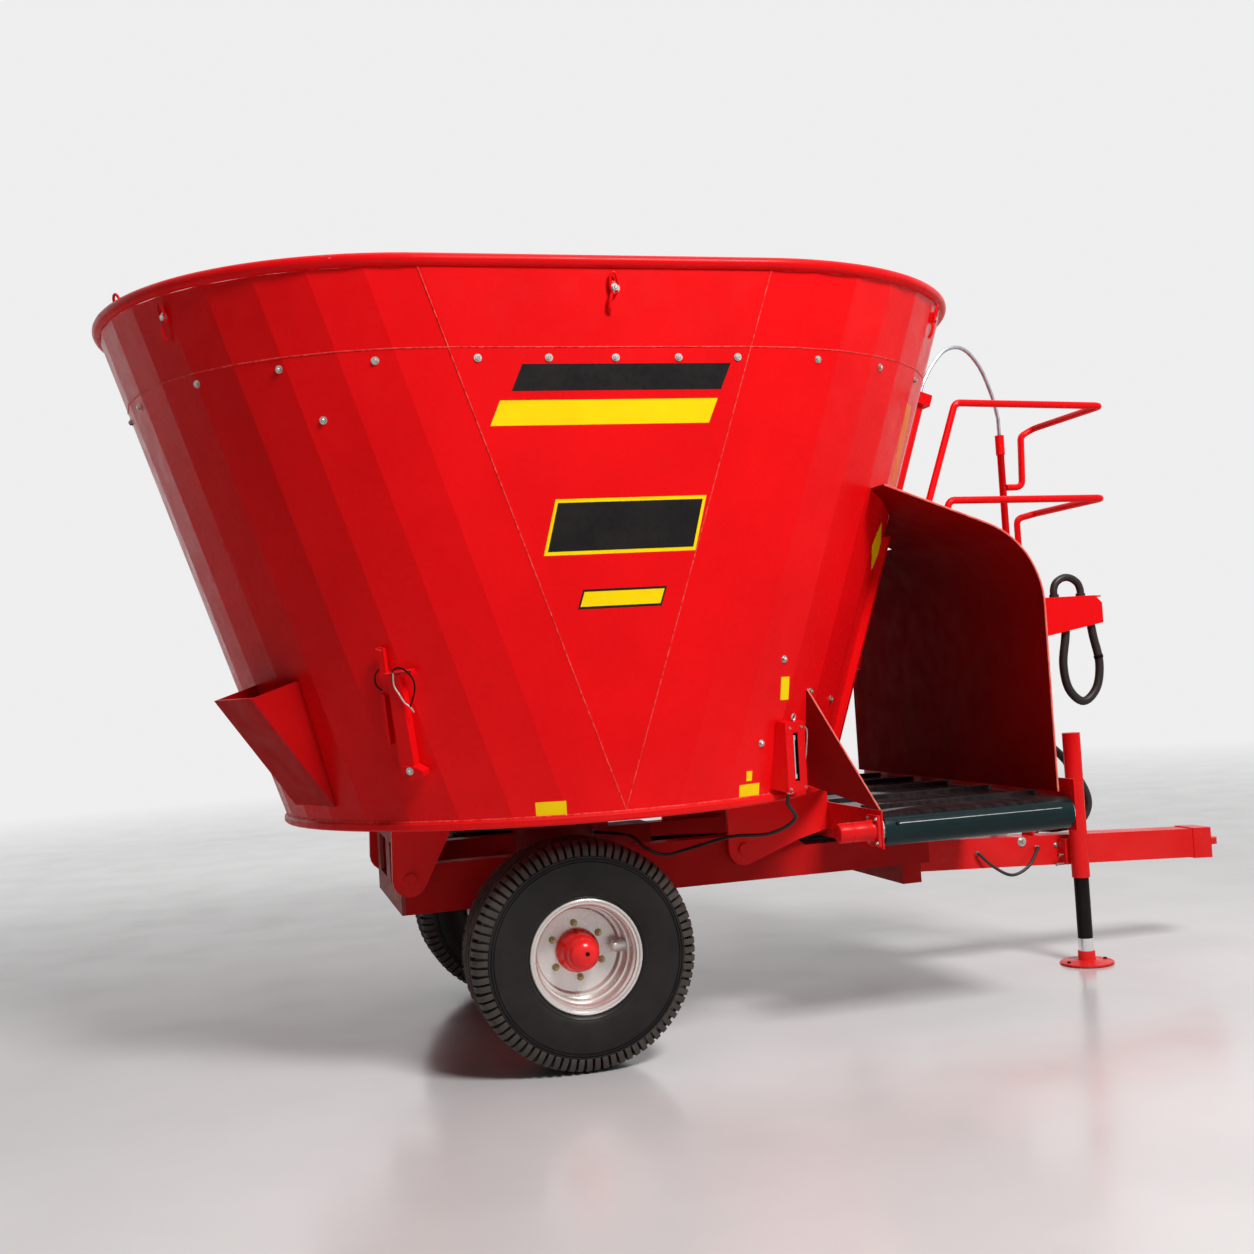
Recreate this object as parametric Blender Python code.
"""Feed mixer wagon: a towed tub with one vertical auger, a front discharge door and a cross conveyor.

Metres, +Z up. Every size below is written from the middle of the axle on the floor, with +X towards
the tow eye and -Y to the machine's right side. One empty, "wagon", then moves the whole machine so
that the origin lies under the middle of its length. Angles round the tub are in degrees from +X.
"""

import math

import bmesh
import bpy
from mathutils import Matrix, Vector

# Clearances
SEAT = 0.0003  # between pieces that touch
RUNNING = 0.008  # between pieces that slide or turn past each other

# Tub: a round floor, lofted to an oblong rim. Both ends of the rim have the same radius.
FLOOR_X = 0.112
FLOOR_BOTTOM = 0.857
FLOOR_THICK = 0.028
FLOOR_LEDGE = 0.019
WALL_FOOT_RADIUS = 1.031
WALL_FLARE = 0.019  # more radius at the rim than at the foot
RIM_FRONT_X = 0.734
RIM_REAR_X = -0.470
RIM_TOP = 2.709
RIM_TUBE_RADIUS = 0.022
WALL_THICK = 0.008
FACET = 10  # degrees of wall between two bends
AUGER_HOLE_RADIUS = 0.080

# Discharge opening and its sliding door, on the front of the wall
OPENING_WIDTH = 0.90
OPENING_SILL = 0.020
OPENING_HEIGHT = 0.435
DOOR_OVERLAP = 0.045
DOOR_THICK = 0.006
GUIDE_THICK = 0.006
GUIDE_ROOM = 0.012  # sideways room between door and guide
GUIDE_TOP = 1.79
GUIDE_FOOT = 2.2  # degrees of wall that a guide stands on
GUIDE_LIP = 1.2  # degrees of door that it covers
LUG_SIZE = (0.050, 0.060, 0.055)  # across, along the slide, past the ram's axis

# Door ram, parallel to the slide
RAM_OFFSET = 0.090
RAM_RADIUS = 0.026
RAM_LENGTH = 0.56
RAM_TOP = 2.47
ROD_RADIUS = 0.0125
ROD_GRIP = 0.050  # rod left inside the barrel with the door shut
RAM_CAP = 0.030

# Auger
AUGER_FOOT_RADIUS = 0.36
AUGER_TIP_RADIUS = 0.085
AUGER_HEIGHT = 1.28
AUGER_STUB_RADIUS = 0.070
FLIGHT_GAP = 0.131  # between the wall's foot and the flighting
FLIGHT_TIP_RADIUS = 0.36
FLIGHT_THICK = 0.014
FLIGHT_TURNS = 2.5
FLIGHT_STEPS = 20  # sections in a turn
FLIGHT_START = 0.025  # height of the flight's foot over the auger's foot
FLIGHT_END = 0.040  # from its upper end to the auger's tip
KNIVES = 5
FIRST_KNIFE = 0.08  # share of the flighting's way up
KNIFE_SPACING = 0.17
KNIFE_LENGTH = 0.26
KNIFE_DEPTH = 0.10
KNIFE_THICK = 0.010
KNIFE_PROUD = 0.055

# Gearbox under the floor, and the driveline that feeds it
GEARBOX_RADIUS = 0.24
GEARBOX_DEPTH = 0.225
GEARBOX_WAIST = 0.187  # radius under its flange
GEARBOX_STEPS = 32
INLET_SIZE = (0.20, 0.16, 0.14)
DRIVE_RADIUS = 0.030
DRIVE_FRONT_X = 2.05
DRIVE_SLOPE = -0.0461
DRIVE_HEIGHT = 0.605  # of its axis at the front crossmember

# Frame
FRAME_REAR_X = -0.565
FRAME_FRONT_X = 1.480
FRAME_STEP = 0.088  # of the beams' lower end behind the conveyor
FRAME_HALF_WIDTH = 0.413
BEAM_WIDTH = 0.080
FRAME_BOTTOM = 0.527
FRAME_TOP = 0.700
FRAME_FRONT_TOP = 0.640
REAR_PLATE_TOP = 0.810
REAR_PLATE_THICK = 0.014
REAR_WINDOW = (0.250, 0.150)
REAR_WINDOW_PLACE = (0.190, 0.050)  # its middle from the machine's middle, and its top under the plate's
CROSSMEMBER_BOTTOM = 0.440
INNER_MEMBERS = (("rear", -0.40), ("middle", -0.10))
INNER_MEMBER_SIZE = (0.070, 0.090)  # along the machine, up

# Drawbar: a box beam that falls a little towards the tow eye
DRAWBAR_FRONT_X = 3.005
DRAWBAR_WIDTH = 0.120
DRAWBAR_HEIGHT = 0.124
DRAWBAR_REAR_Z = 0.506
DRAWBAR_FRONT_Z = 0.436
HEAD_LENGTH = 0.086
HEAD_PROUD = 0.004
EYE_RADIUS = 0.040
EYE_BORE = 0.019
EYE_THICK = 0.028
EYE_REACH = 0.025  # from the drawbar's head to the eye's centre
BULKHEAD_X = 2.158  # front face of the plate on the drawbar that the hoses end at
BULKHEAD_THICK = 0.008
BULKHEAD_TOP = 0.598
BULKHEAD_Y = (-0.040, 0.050)

# Wheels, 30 inch implement tyres on 14.5 inch rims
WHEEL_Y = 0.690
TYRE_RADIUS = 0.390
TYRE_WIDTH = 0.290
RIM_FLANGE_RADIUS = 0.1955
RIM_WIDTH = 0.262
RIM_SEAT_RADIUS = 0.175
RIM_WALL = 0.009
DISC_RECESS = 0.149  # from the rim's outer edge to the disc
DISC_THICK = 0.012
HUB_RADIUS = 0.072
HUB_REACH = 0.136
HUB_ROOM = 0.001  # between the hub and the disc's bore
HUB_FLANGE_RADIUS = 0.116
SPINDLE_RADIUS = 0.030
AXLE_SIZE = 0.090
AXLE_HALF_LENGTH = 0.575
RIM_STEPS = 32
LUGS = 52  # on each shoulder
SHOULDER = ((0.014, 0.018), (0.0, 0.055))  # under the tyre's radius and inside its side, at a lug
GROOVE = ((0.030, 0.024), (0.0, 0.085))  # the same in the groove beside it
STUB = (0.110, 0.162, 0.030, 0.0205)  # its ends from the axle, then how far out it stands, and its radius

# Load cell brackets between tub and frame
BRACKET_THICK = 0.020
BRACKET_GAP = 0.012
BRACKET_PIN_RADIUS = 0.022
BRACKET_PIN_PROUD = 0.012
REAR_BRACKET = ((-0.534, 0.655), (-0.589, -0.359), 0.062)  # pin in X and Z, both ends of its top, radius
FRONT_BRACKET = ((0.712, 0.650), 0.655, 0.060)  # pin in X and Z, rear end of its top, radius
FRONT_BRACKET_ARM = (0.700, (0.930, 0.668))  # height at the conveyor, then the corner of its lower edge

# Cross conveyor under the discharge opening
CONVEYOR_TUCK = 0.085  # of its rear plate under the floor's front
CONVEYOR_PROUD = 0.044  # of its front plate past the hood
CONVEYOR_HALF_LENGTH = 0.930
PULLEY_RADIUS = 0.050
PULLEY_STEPS = 20
BELT_THICK = 0.008
BELT_TOP = 0.785
SIDE_PLATE_THICK = 0.006
SIDE_PLATE_BOTTOM = 0.664
REAR_PLATE_EDGE = 0.798
FRONT_PLATE_EDGE = 0.850
BELT_SIDE_ROOM = 0.008
SLAT_PITCH = 0.345
SLAT_WIDTH = 0.036
SLAT_HEIGHT = 0.014
BED_THICK = 0.008
MOTOR_RADIUS = 0.035
MOTOR_LENGTH = 0.150
HANGER_HALF_WIDTH = 0.400

# Spill plates at the conveyor's rear corners: angle round the tub and height
SPILL_TOP = (54, 1.238)
SPILL_HEEL = (46, 0.905)
SPILL_REACH = (1.5, 0.8)  # how far its lower edge runs towards the heel and past it, and its upper edge

# Hood over the conveyor
HOOD_HALF_WIDTH = 0.880
HOOD_THICK = 0.005
HOOD_BOTTOM = 0.806
HOOD_DEPTH = 0.610
HOOD_REAR_Z = 1.950
HOOD_PITCH = 20.8  # fall of its top, in degrees
HOOD_BEND = 0.33
HOOD_BEND_STEPS = 7
HOOD_SLOT = (0.062, 1.60, 1.70)  # for the ram: width, front end in X, lower end
HOOD_TABS = (-0.62, 0.0, 0.62)
TAB_SIZE = (0.060, 0.008)

# Platform in front of the hood, with its rails and ladder
PLATFORM_Y = (-0.450, 0.120)
PLATFORM_LENGTH = 0.512
PLATFORM_TOP = 1.530
PLATFORM_THICK = 0.006
CHEEK_ROOT = 0.195
CHEEK_TIP = 0.110
CHEEK_THICK = 0.006
RAIL_RADIUS = 0.0145
RAIL_SEAT = 0.004  # rise of a rail's foot over the hood's slope, at its middle
RUNG_RADIUS = 0.014
LADDER_FOOT = (0.420, 0.560)  # y and z of its lowest rung
LADDER_SIDES = (0.106, 0.426)  # in front of the hood
LADDER_BAR = (0.010, 0.044)
LADDER_TAIL = 0.050  # of its sides under the lowest rung
RUNGS = 4
RAIL_BEND = 0.030
RAIL_SIDE = 0.016  # from the platform's edge to the rails
RAIL_OVERHANG = 0.076
UPPER_RAIL_FOOT = 0.254  # behind the hood's front
UPPER_RAIL_LEAN = 0.185
UPPER_RAIL_Z = 2.302
UPPER_RAIL_HANG = 0.257  # of its end under the rail
LOWER_RAIL_FOOT = 0.164
LOWER_RAIL_LEAN = 0.040
LOWER_RAIL_Z = 1.925
LOWER_RAIL_OVERHANG = 0.054
POST_PLACE = 0.421  # in front of the hood
POST_RADIUS = 0.016
POST_TOP = 2.275
SLEEVE_LENGTH = 0.085
ARCH = (  # share of the way from the ram to the post, height
    (0.20, 2.580),
    (0.38, 2.644),
    (0.60, 2.650),
    (0.80, 2.575),
    (0.94, 2.450),
)
INDICATOR_RADIUS = 0.0085

# Parking jack on the drawbar's right side
JACK_X = 2.300
JACK_Y = -0.150
JACK_TUBE_RADIUS = 0.0370
JACK_LEG_RADIUS = 0.0310
JACK_TOP = 0.968
JACK_TUBE_BOTTOM = 0.361
JACK_LEG_TOP = 0.610
JACK_SOCKET_TOP = 0.052
JACK_CAP = 0.010
FOOT_RADIUS = 0.110
FOOT_THICK = 0.010
SOCKET_RADIUS = 0.0265

# Fittings on the wall
POCKET_ANGLE = -155
POCKET_WIDTH = 0.285
POCKET_HEIGHT = 0.440
POCKET_DEPTH = 0.165
POCKET_FOOT = 0.950
SHEET = 0.005
POCKET_BACK = 0.25  # of its solid behind the wall, before the tub's form is cut from it
COUNTER_KNIFE_ANGLE = 125
COUNTER_KNIFE_FOOT = 1.080
HOLDER = (  # outline in (across, up) pairs, lowest and highest distance from the wall
    ([(-0.060, -0.010), (0.028, -0.010), (0.022, 0.300), (-0.056, 0.300)], SEAT, 0.006),  # back plate
    ([(-0.022, -0.004), (0.030, -0.004), (0.0215, 0.307), (-0.0215, 0.307)], 0.004, 0.044),  # channel
    ([(-0.060, 0.085), (-0.050, 0.075), (-0.046, 0.245), (-0.056, 0.245)], 0.004, 0.034),  # guard
    ([(-0.052, 0.254), (-0.030, 0.240), (-0.028, 0.392), (-0.050, 0.396)], 0.012, 0.030),  # lever
    ([(-0.052, 0.292), (0.066, 0.302), (0.066, 0.320), (-0.052, 0.312)], 0.010, 0.040),  # cross bar
    # foot
    ([(-0.012, -0.046), (0.060, -0.030), (0.062, -0.014), (0.026, 0.006), (-0.012, 0.006)], 0.004, 0.052),
)
RESERVOIR_ANGLE = -55
RESERVOIR_SIZE = (0.118, 0.236, 0.080)  # across, up, and out at its foot
RESERVOIR_TOP_DEPTH = 0.035
SIGHT_WINDOW = (0.0145, 0.034, 0.200, 0.020)  # half width, lower and upper end, depth
RESERVOIR_FOOT = 0.905
HOSE_RADIUS = 0.0065
HOSE_BUNDLE_RADIUS = 0.017
HOSE_BEHIND_CHEEK = 0.026
OIL_INLET_Z = 0.735

# Derived places
WALL_RIM_RADIUS = WALL_FOOT_RADIUS + WALL_FLARE
FLIGHT_FOOT_RADIUS = WALL_FOOT_RADIUS - FLIGHT_GAP
HOOD_FRONT_X = RIM_FRONT_X + WALL_RIM_RADIUS
HOOD_REAR_X = HOOD_FRONT_X - HOOD_DEPTH
CONVEYOR_REAR_X = FLOOR_X + WALL_FOOT_RADIUS - CONVEYOR_TUCK
CONVEYOR_FRONT_X = HOOD_FRONT_X + CONVEYOR_PROUD
FRAME_STEP_X = CONVEYOR_REAR_X - FRAME_STEP
PLATFORM_FRONT_X = HOOD_FRONT_X + PLATFORM_LENGTH
LADDER_X = [HOOD_FRONT_X + place for place in LADDER_SIDES]
POST_X = HOOD_FRONT_X + POST_PLACE
FLOOR_TOP = FLOOR_BOTTOM + FLOOR_THICK
WALL_FOOT = FLOOR_TOP + SEAT
RIM_TUBE_Z = RIM_TOP - RIM_TUBE_RADIUS
WALL_HEAD = RIM_TUBE_Z - RIM_TUBE_RADIUS - SEAT
REACH_REAR = RIM_REAR_X - WALL_RIM_RADIUS - RIM_TUBE_RADIUS + WALL_THICK / 2
EYE_X = DRAWBAR_FRONT_X + HEAD_PROUD + EYE_REACH
REACH_FRONT = EYE_X + EYE_RADIUS
MIDDLE_X = (REACH_REAR + REACH_FRONT) / 2
PULLEY_Y = CONVEYOR_HALF_LENGTH - PULLEY_RADIUS - BELT_THICK
PULLEY_Z = BELT_TOP - BELT_THICK - PULLEY_RADIUS
SLIDE = Vector(
    (RIM_FRONT_X + WALL_RIM_RADIUS - FLOOR_X - WALL_FOOT_RADIUS, 0, RIM_TOP - FLOOR_BOTTOM)
).normalized()

RED = ((0.62, 0.012, 0.012), 0.32, 0.0)
DARK_RED = ((0.40, 0.012, 0.012), 0.45, 0.0)
SILVER = ((0.62, 0.62, 0.63), 0.35, 0.6)
BARE_STEEL = ((0.55, 0.55, 0.56), 0.30, 1.0)
CHROME = ((0.80, 0.80, 0.82), 0.10, 1.0)
BLACK = ((0.020, 0.020, 0.020), 0.50, 0.0)
TYRE_RUBBER = ((0.022, 0.022, 0.023), 0.80, 0.0)
BELT_GREEN = ((0.010, 0.055, 0.060), 0.45, 0.0)


def empty(name, location, parent):
    """An empty that carries the pieces of one moving body, with its origin on the joint's axis."""
    obj = bpy.data.objects.new(name, None)
    bpy.context.scene.collection.objects.link(obj)
    obj.parent = parent
    obj.location = location
    return obj


def paint(obj, finish):
    """Gives the object its own Principled material."""
    colour, roughness, metallic = finish
    material = bpy.data.materials.new(obj.name)
    material.use_nodes = True
    shader = material.node_tree.nodes["Principled BSDF"]
    shader.inputs["Base Color"].default_value = (*colour, 1.0)
    shader.inputs["Roughness"].default_value = roughness
    shader.inputs["Metallic"].default_value = metallic
    obj.data.materials.append(material)


def machine_point(body):
    """Where a body's empty stands, counted from the axle."""
    return body.location if body.parent else Vector()


def piece(name, bm, body, finish, sharp=35):
    """Makes a mesh in axle coordinates into a named object of one body."""
    bmesh.ops.remove_doubles(bm, verts=bm.verts, dist=1e-6)
    bmesh.ops.recalc_face_normals(bm, faces=bm.faces)
    bmesh.ops.translate(bm, verts=bm.verts, vec=-machine_point(body))
    mesh = bpy.data.meshes.new(name)
    bm.to_mesh(mesh)
    bm.free()
    mesh.shade_smooth()
    mesh.set_sharp_from_angle(angle=math.radians(sharp))
    obj = bpy.data.objects.new(name, mesh)
    bpy.context.scene.collection.objects.link(obj)
    obj.parent = body
    if finish:
        paint(obj, finish)
    return obj


def combine(obj, bm, operation):
    """Adds a Boolean with a hidden helper solid, made in axle coordinates."""
    helper = piece(f"{obj.name}_{operation.lower()}_{len(obj.modifiers)}", bm, obj.parent, None)
    helper.hide_render = True
    helper.display_type = "WIRE"
    modifier = obj.modifiers.new(helper.name, "BOOLEAN")
    modifier.operation = operation
    modifier.object = helper
    return obj


def box(low, high):
    """A block between two corners."""
    bm = bmesh.new()
    bmesh.ops.create_cube(bm, size=1)
    low, high = Vector(low), Vector(high)
    bmesh.ops.scale(bm, verts=bm.verts, vec=high - low)
    bmesh.ops.translate(bm, verts=bm.verts, vec=(low + high) / 2)
    return bm


def prism(outline, axis, low, high):
    """An outline of pairs, extruded along one axis. The pairs are the two other coordinates, in order."""
    place = {
        "X": lambda a, b, c: (c, a, b),
        "Y": lambda a, b, c: (a, c, b),
        "Z": lambda a, b, c: (a, b, c),
    }[axis]
    bm = bmesh.new()
    face = bm.faces.new([bm.verts.new(place(a, b, low)) for a, b in outline])
    top = bmesh.ops.extrude_face_region(bm, geom=[face])["geom"]
    push = Vector(place(0, 0, high)) - Vector(place(0, 0, low))
    bmesh.ops.translate(bm, verts=[v for v in top if isinstance(v, bmesh.types.BMVert)], vec=push)
    bmesh.ops.recalc_face_normals(bm, faces=bm.faces)
    return bm


def turned(profile, centre, axis, steps):
    """A profile of (radius, distance along the axis) pairs, turned about an axis through centre."""
    axis = Vector(axis).normalized()
    side = axis.orthogonal().normalized()
    centre = Vector(centre)
    bm = bmesh.new()
    verts = [bm.verts.new(centre + side * r + axis * h) for r, h in profile]
    edges = [bm.edges.new((a, b)) for a, b in zip(verts, verts[1:] + verts[:1])]
    bmesh.ops.spin(
        bm, geom=verts + edges, cent=centre, axis=axis, angle=math.tau, steps=steps, use_merge=True
    )
    bmesh.ops.remove_doubles(bm, verts=bm.verts, dist=1e-5)
    bmesh.ops.dissolve_degenerate(bm, edges=bm.edges, dist=1e-6)
    bmesh.ops.recalc_face_normals(bm, faces=bm.faces)
    return bm


def rod(start, end, radius, steps=16):
    """A round bar between two points."""
    start, end = Vector(start), Vector(end)
    length = (end - start).length
    return turned([(0, 0), (radius, 0), (radius, length), (0, length)], start, end - start, steps)


def skin(rings):
    """Quads between rings of points, each ring closed, and the last ring joined to the first."""
    bm = bmesh.new()
    rows = [[bm.verts.new(p) for p in ring] for ring in rings]
    for row, following in zip(rows, rows[1:] + rows[:1]):
        for k in range(len(row)):
            bm.faces.new((row[k - 1], row[k], following[k], following[k - 1]))
    bmesh.ops.remove_doubles(bm, verts=bm.verts, dist=1e-6)
    bmesh.ops.recalc_face_normals(bm, faces=bm.faces)
    return bm


def loft(sections):
    """A solid through closed sections with as many points each, with its two ends filled."""
    bm = bmesh.new()
    rows = [[bm.verts.new(p) for p in section] for section in sections]
    for row, following in zip(rows, rows[1:]):
        for k in range(len(row)):
            bm.faces.new((row[k - 1], row[k], following[k], following[k - 1]))
    bm.faces.new(rows[0])
    bm.faces.new(rows[-1])
    bmesh.ops.recalc_face_normals(bm, faces=bm.faces)
    return bm


def pipe(name, points, radius, body, finish, sides=2, closed=False):
    """A bent tube as a curve with a round bevel and filled ends."""
    curve = bpy.data.curves.new(name, "CURVE")
    curve.dimensions = "3D"
    curve.bevel_depth = radius
    curve.bevel_resolution = sides
    curve.use_fill_caps = not closed
    spline = curve.splines.new("POLY")
    spline.points.add(len(points) - 1)
    for target, point in zip(spline.points, points):
        target.co = (*(Vector(point) - machine_point(body)), 1)
    spline.use_cyclic_u = closed
    spline.use_smooth = True
    obj = bpy.data.objects.new(name, curve)
    bpy.context.scene.collection.objects.link(obj)
    obj.parent = body
    paint(obj, finish)
    return obj


def rounded(corners, bend, steps=4):
    """A path through corners, with each inner corner turned on an arc of the bend radius."""
    corners = [Vector(c) for c in corners]
    path = [corners[0]]
    for before, corner, after in zip(corners, corners[1:], corners[2:]):
        back, ahead = (before - corner).normalized(), (after - corner).normalized()
        half = back.angle(ahead) / 2
        cut = bend / math.tan(half)
        middle = corner + (back + ahead).normalized() * (bend / math.sin(half))
        start, end = corner + back * cut - middle, corner + ahead * cut - middle
        path += [middle + start.slerp(end, k / steps) * bend for k in range(steps + 1)]
    return path + [corners[-1]]


def hose_path(points, count):
    """A hose's route: straight out of each fitting, and a smooth curve between."""
    return [points[0]] + smooth(points[1:-1], count) + [points[-1]]


def smooth(points, count):
    """Evenly numbered points on a smooth curve through a few given ones."""
    points = [Vector(p) for p in points]
    ends = [points[0] * 2 - points[1]] + points + [points[-1] * 2 - points[-2]]
    path = []
    for k in range(count):
        place = k / (count - 1) * (len(points) - 1)
        n = min(int(place), len(points) - 2)
        t = place - n
        a, b, c, d = ends[n : n + 4]
        path.append(
            (b * 2 + (c - a) * t + (a * 2 - b * 5 + c * 4 - d) * t**2 + (b * 3 - a - c * 3 + d) * t**3) / 2
        )
    return path


def arc(centre, radius, start, end, steps):
    """Points on an arc in degrees, as pairs."""
    angles = [math.radians(start + (end - start) * k / steps) for k in range(steps + 1)]
    return [(centre[0] + radius * math.cos(a), centre[1] + radius * math.sin(a)) for a in angles]


def bend_point(angle, height, offset, front):
    """A point on one of the wall's bends, offset outwards from the wall's outer face."""
    rise = (height - FLOOR_BOTTOM) / (RIM_TOP - FLOOR_BOTTOM)
    rim_x = RIM_FRONT_X if front else RIM_REAR_X
    radius = WALL_FOOT_RADIUS + (WALL_RIM_RADIUS - WALL_FOOT_RADIUS) * rise + offset
    turn = math.radians(angle)
    return Vector(
        (FLOOR_X + (rim_x - FLOOR_X) * rise + radius * math.cos(turn), radius * math.sin(turn), height)
    )


def wall_point(angle, height, offset=0.0):
    """A point on the wall's flat facets, offset outwards."""
    front = math.cos(math.radians(angle)) > 0
    low = math.floor(angle / FACET) * FACET
    share = (angle - low) / FACET
    return bend_point(low, height, offset, front).lerp(bend_point(low + FACET, height, offset, front), share)


def wall_ring(height, offset):
    """The wall's outline at a height: the front half's bends, then the rear half's."""
    front = [bend_point(a, height, offset, True) for a in range(-90, 91, FACET)]
    rear = [bend_point(a, height, offset, False) for a in range(90, 271, FACET)]
    return front + rear


def wall_frame(angle, height):
    """A matrix whose X runs round the wall, Y up it and Z out of it."""
    origin = wall_point(angle, height)
    up = (wall_point(angle, height + 0.1) - origin).normalized()
    across = (wall_point(angle + 1, height) - wall_point(angle - 1, height)).normalized()
    out = across.cross(up).normalized()
    up = out.cross(across)
    return Matrix((across, up, out)).transposed().to_4x4(), origin


def on_wall(bm, angle, height):
    """Moves a mesh from the wall's own axes to its place."""
    turn, origin = wall_frame(angle, height)
    bmesh.ops.transform(bm, matrix=Matrix.Translation(origin) @ turn, verts=bm.verts)
    return bm


def tub_filler():
    """The solid inside the wall's outer face and a gap, used to trim what seats on the wall."""
    bm = loft([wall_ring(height, 2 * SEAT) for height in (FLOOR_BOTTOM, RIM_TOP + 0.1)])
    bmesh.ops.remove_doubles(bm, verts=bm.verts, dist=1e-6)
    bmesh.ops.recalc_face_normals(bm, faces=bm.faces)
    return bm


def build_tub(root):
    reach = WALL_FOOT_RADIUS + FLOOR_LEDGE
    piece(
        "tub_floor",
        turned(
            [
                (AUGER_HOLE_RADIUS, FLOOR_BOTTOM),
                (reach - 0.006, FLOOR_BOTTOM),
                (reach, FLOOR_BOTTOM + 0.006),
                (reach, FLOOR_TOP - 0.006),
                (reach - 0.006, FLOOR_TOP),
                (AUGER_HOLE_RADIUS, FLOOR_TOP),
            ],
            (FLOOR_X, 0, 0),
            (0, 0, 1),
            72,
        ),
        root,
        RED,
    )
    wall = piece(
        "tub_wall",
        skin(
            [
                wall_ring(WALL_FOOT, 0),
                wall_ring(WALL_HEAD, 0),
                wall_ring(WALL_HEAD, -WALL_THICK),
                wall_ring(WALL_FOOT, -WALL_THICK),
            ]
        ),
        root,
        RED,
        sharp=2,
    )
    sill = FLOOR_TOP + OPENING_SILL
    combine(
        wall,
        box(
            (FLOOR_X + 0.5, -OPENING_WIDTH / 2, sill),
            (RIM_FRONT_X + WALL_RIM_RADIUS, OPENING_WIDTH / 2, sill + OPENING_HEIGHT),
        ),
        "DIFFERENCE",
    )
    path = wall_ring(RIM_TUBE_Z, -WALL_THICK / 2)
    pipe("tub_rim", path, RIM_TUBE_RADIUS, root, RED, closed=True)


def flight_place(share):
    """Turn, radius and height of the flighting's edge at a share of its way up."""
    rise = AUGER_HEIGHT - FLIGHT_START - FLIGHT_END
    return (
        math.tau * FLIGHT_TURNS * share,
        FLIGHT_FOOT_RADIUS + (FLIGHT_TIP_RADIUS - FLIGHT_FOOT_RADIUS) * share,
        FLOOR_TOP + RUNNING + FLIGHT_START + rise * share,
    )


def build_auger(body):
    foot = FLOOR_TOP + RUNNING
    tip = foot + AUGER_HEIGHT
    core = turned(
        [
            (0, FLOOR_BOTTOM + SEAT),
            (AUGER_STUB_RADIUS, FLOOR_BOTTOM + SEAT),
            (AUGER_STUB_RADIUS, foot),
            (AUGER_FOOT_RADIUS, foot),
            (AUGER_FOOT_RADIUS, foot + 0.06),
            (AUGER_TIP_RADIUS, tip),
            (0, tip),
        ],
        (FLOOR_X, 0, 0),
        (0, 0, 1),
        24,
    )
    auger = piece("auger", core, body, RED)
    sections = []
    steps = int(FLIGHT_TURNS * FLIGHT_STEPS)
    inner = AUGER_TIP_RADIUS * 0.6
    up = Vector((0, 0, FLIGHT_THICK))
    for k in range(steps + 1):
        turn, outer, height = flight_place(k / steps)
        out = Vector((math.cos(turn), math.sin(turn), 0))
        base = Vector((FLOOR_X, 0, height))
        sections.append([base + out * inner, base + out * outer, base + out * outer + up, base + out * inner + up])
    combine(auger, loft(sections), "UNION")
    for k in range(KNIVES):
        turn, radius, height = flight_place(FIRST_KNIFE + KNIFE_SPACING * k)
        height += FLIGHT_THICK / 2
        blade = [
            (radius - KNIFE_DEPTH + KNIFE_PROUD, -KNIFE_LENGTH / 2),
            (radius - 0.01, -KNIFE_LENGTH / 2),
            (radius + KNIFE_PROUD, KNIFE_LENGTH * 0.35),
            (radius + KNIFE_PROUD - 0.03, KNIFE_LENGTH / 2),
            (radius - KNIFE_DEPTH + KNIFE_PROUD, KNIFE_LENGTH * 0.30),
        ]
        bm = prism(blade, "Z", height, height + KNIFE_THICK)
        bmesh.ops.rotate(bm, cent=(0, 0, 0), matrix=Matrix.Rotation(turn, 3, "Z"), verts=bm.verts)
        bmesh.ops.translate(bm, verts=bm.verts, vec=(FLOOR_X, 0, 0))
        combine(auger, bm, "UNION")


def door_outline(height, low, high, half_angle):
    """The door's section at a height: its inner face, then its outer face back again."""
    turns = [-half_angle, -20, -10, 0, 10, 20, half_angle]
    return [wall_point(a, height, low) for a in turns] + [wall_point(a, height, high) for a in reversed(turns)]


def build_door(body, root):
    bottom = FLOOR_TOP + RUNNING
    top = FLOOR_TOP + OPENING_SILL + OPENING_HEIGHT + DOOR_OVERLAP
    half_angle = math.degrees(math.asin((OPENING_WIDTH / 2 + DOOR_OVERLAP) / WALL_FOOT_RADIUS))
    outer = RUNNING + DOOR_THICK
    door = piece(
        "discharge_door",
        loft([door_outline(bottom, RUNNING, outer, half_angle), door_outline(top, RUNNING, outer, half_angle)]),
        body,
        RED,
        sharp=2,
    )
    width, length, past = LUG_SIZE
    lug = box((-width / 2, -length, outer - 0.002), (width / 2, 0, RAM_OFFSET + past / 2))
    combine(door, on_wall(lug, 0, top), "UNION")
    for side in (-1, 1):
        edge = half_angle + math.degrees(GUIDE_ROOM / WALL_FOOT_RADIUS)
        wide = edge + GUIDE_FOOT
        lip = half_angle - GUIDE_LIP
        section = [
            (edge, SEAT),
            (wide, SEAT),
            (wide, outer + RUNNING + GUIDE_THICK),
            (lip, outer + RUNNING + GUIDE_THICK),
            (lip, outer + RUNNING),
            (edge, outer + RUNNING),
        ]
        corners = facet_corners(section)
        rings = [[wall_point(side * a, z, off) for a, off in corners] for z in (FLOOR_TOP + SEAT, GUIDE_TOP)]
        piece(f"door_guide_{'right' if side < 0 else 'left'}", loft(rings), root, RED, sharp=2)


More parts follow.
